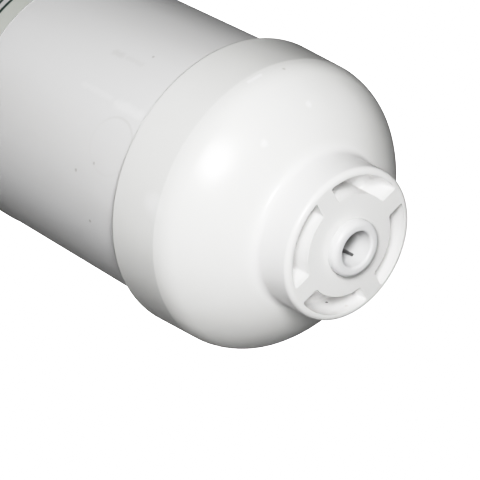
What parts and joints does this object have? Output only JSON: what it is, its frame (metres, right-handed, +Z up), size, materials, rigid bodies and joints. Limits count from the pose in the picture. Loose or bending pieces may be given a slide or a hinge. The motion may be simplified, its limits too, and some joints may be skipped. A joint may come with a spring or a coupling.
{
  "type": "water filter cartridge",
  "caption": "White in-line fridge water filter cartridge: round welded housing with domed end caps, a push-fit tube port with a sliding collet at each end, and a carbon block inside.",
  "frame": {"origin": "middle of the cartridge's length, on the surface that it lies on, straight below its axis", "axes": "+X along the housing's axis towards the outlet port, +Z up"},
  "size_m": [0.2582, 0.0548, 0.0549],
  "materials": {
    "housing_plastic": "white polypropylene, moulded, satin to glossy",
    "collet_plastic": "white acetal, moulded, satin",
    "label_film": "film label, plain white panel with clear margin and dark green edge lines",
    "tooth_steel": "stamped stainless steel",
    "washer_plastic": "white acetal, matt",
    "seal_rubber": "black nitrile rubber",
    "pressed_carbon": "pressed activated carbon, dull black",
    "wrap_fabric": "white non-woven wrap",
    "plate_plastic": "white polypropylene, matt"
  },
  "bodies": {
    "housing": {"body_tube": "housing_plastic", "inlet_end_cap": "housing_plastic", "outlet_end_cap": "housing_plastic", "label_sleeve": "label_film", "inlet_seal_washer": "washer_plastic", "outlet_seal_washer": "washer_plastic", "inlet_tube_seal": "seal_rubber", "outlet_tube_seal": "seal_rubber", "carbon_block": "pressed_carbon", "sediment_wrap": "wrap_fabric", "inlet_block_cap": "plate_plastic", "outlet_block_cap": "plate_plastic", "spigot_seal_inner": "seal_rubber", "spigot_seal_outer": "seal_rubber"},
    "inlet_grip": {"inlet_collet": "collet_plastic", "inlet_grip_teeth": "tooth_steel"},
    "outlet_grip": {"outlet_collet": "collet_plastic", "outlet_grip_teeth": "tooth_steel"}
  },
  "joints": [
    {"name": "inlet_collet_slide", "type": "slide", "parent": "housing", "child": "inlet_grip", "axis": [-1, 0, 0], "range_m": [0, 0.0012]},
    {"name": "outlet_collet_slide", "type": "slide", "parent": "housing", "child": "outlet_grip", "axis": [1, 0, 0], "range_m": [0, 0.0012]}
  ]
}
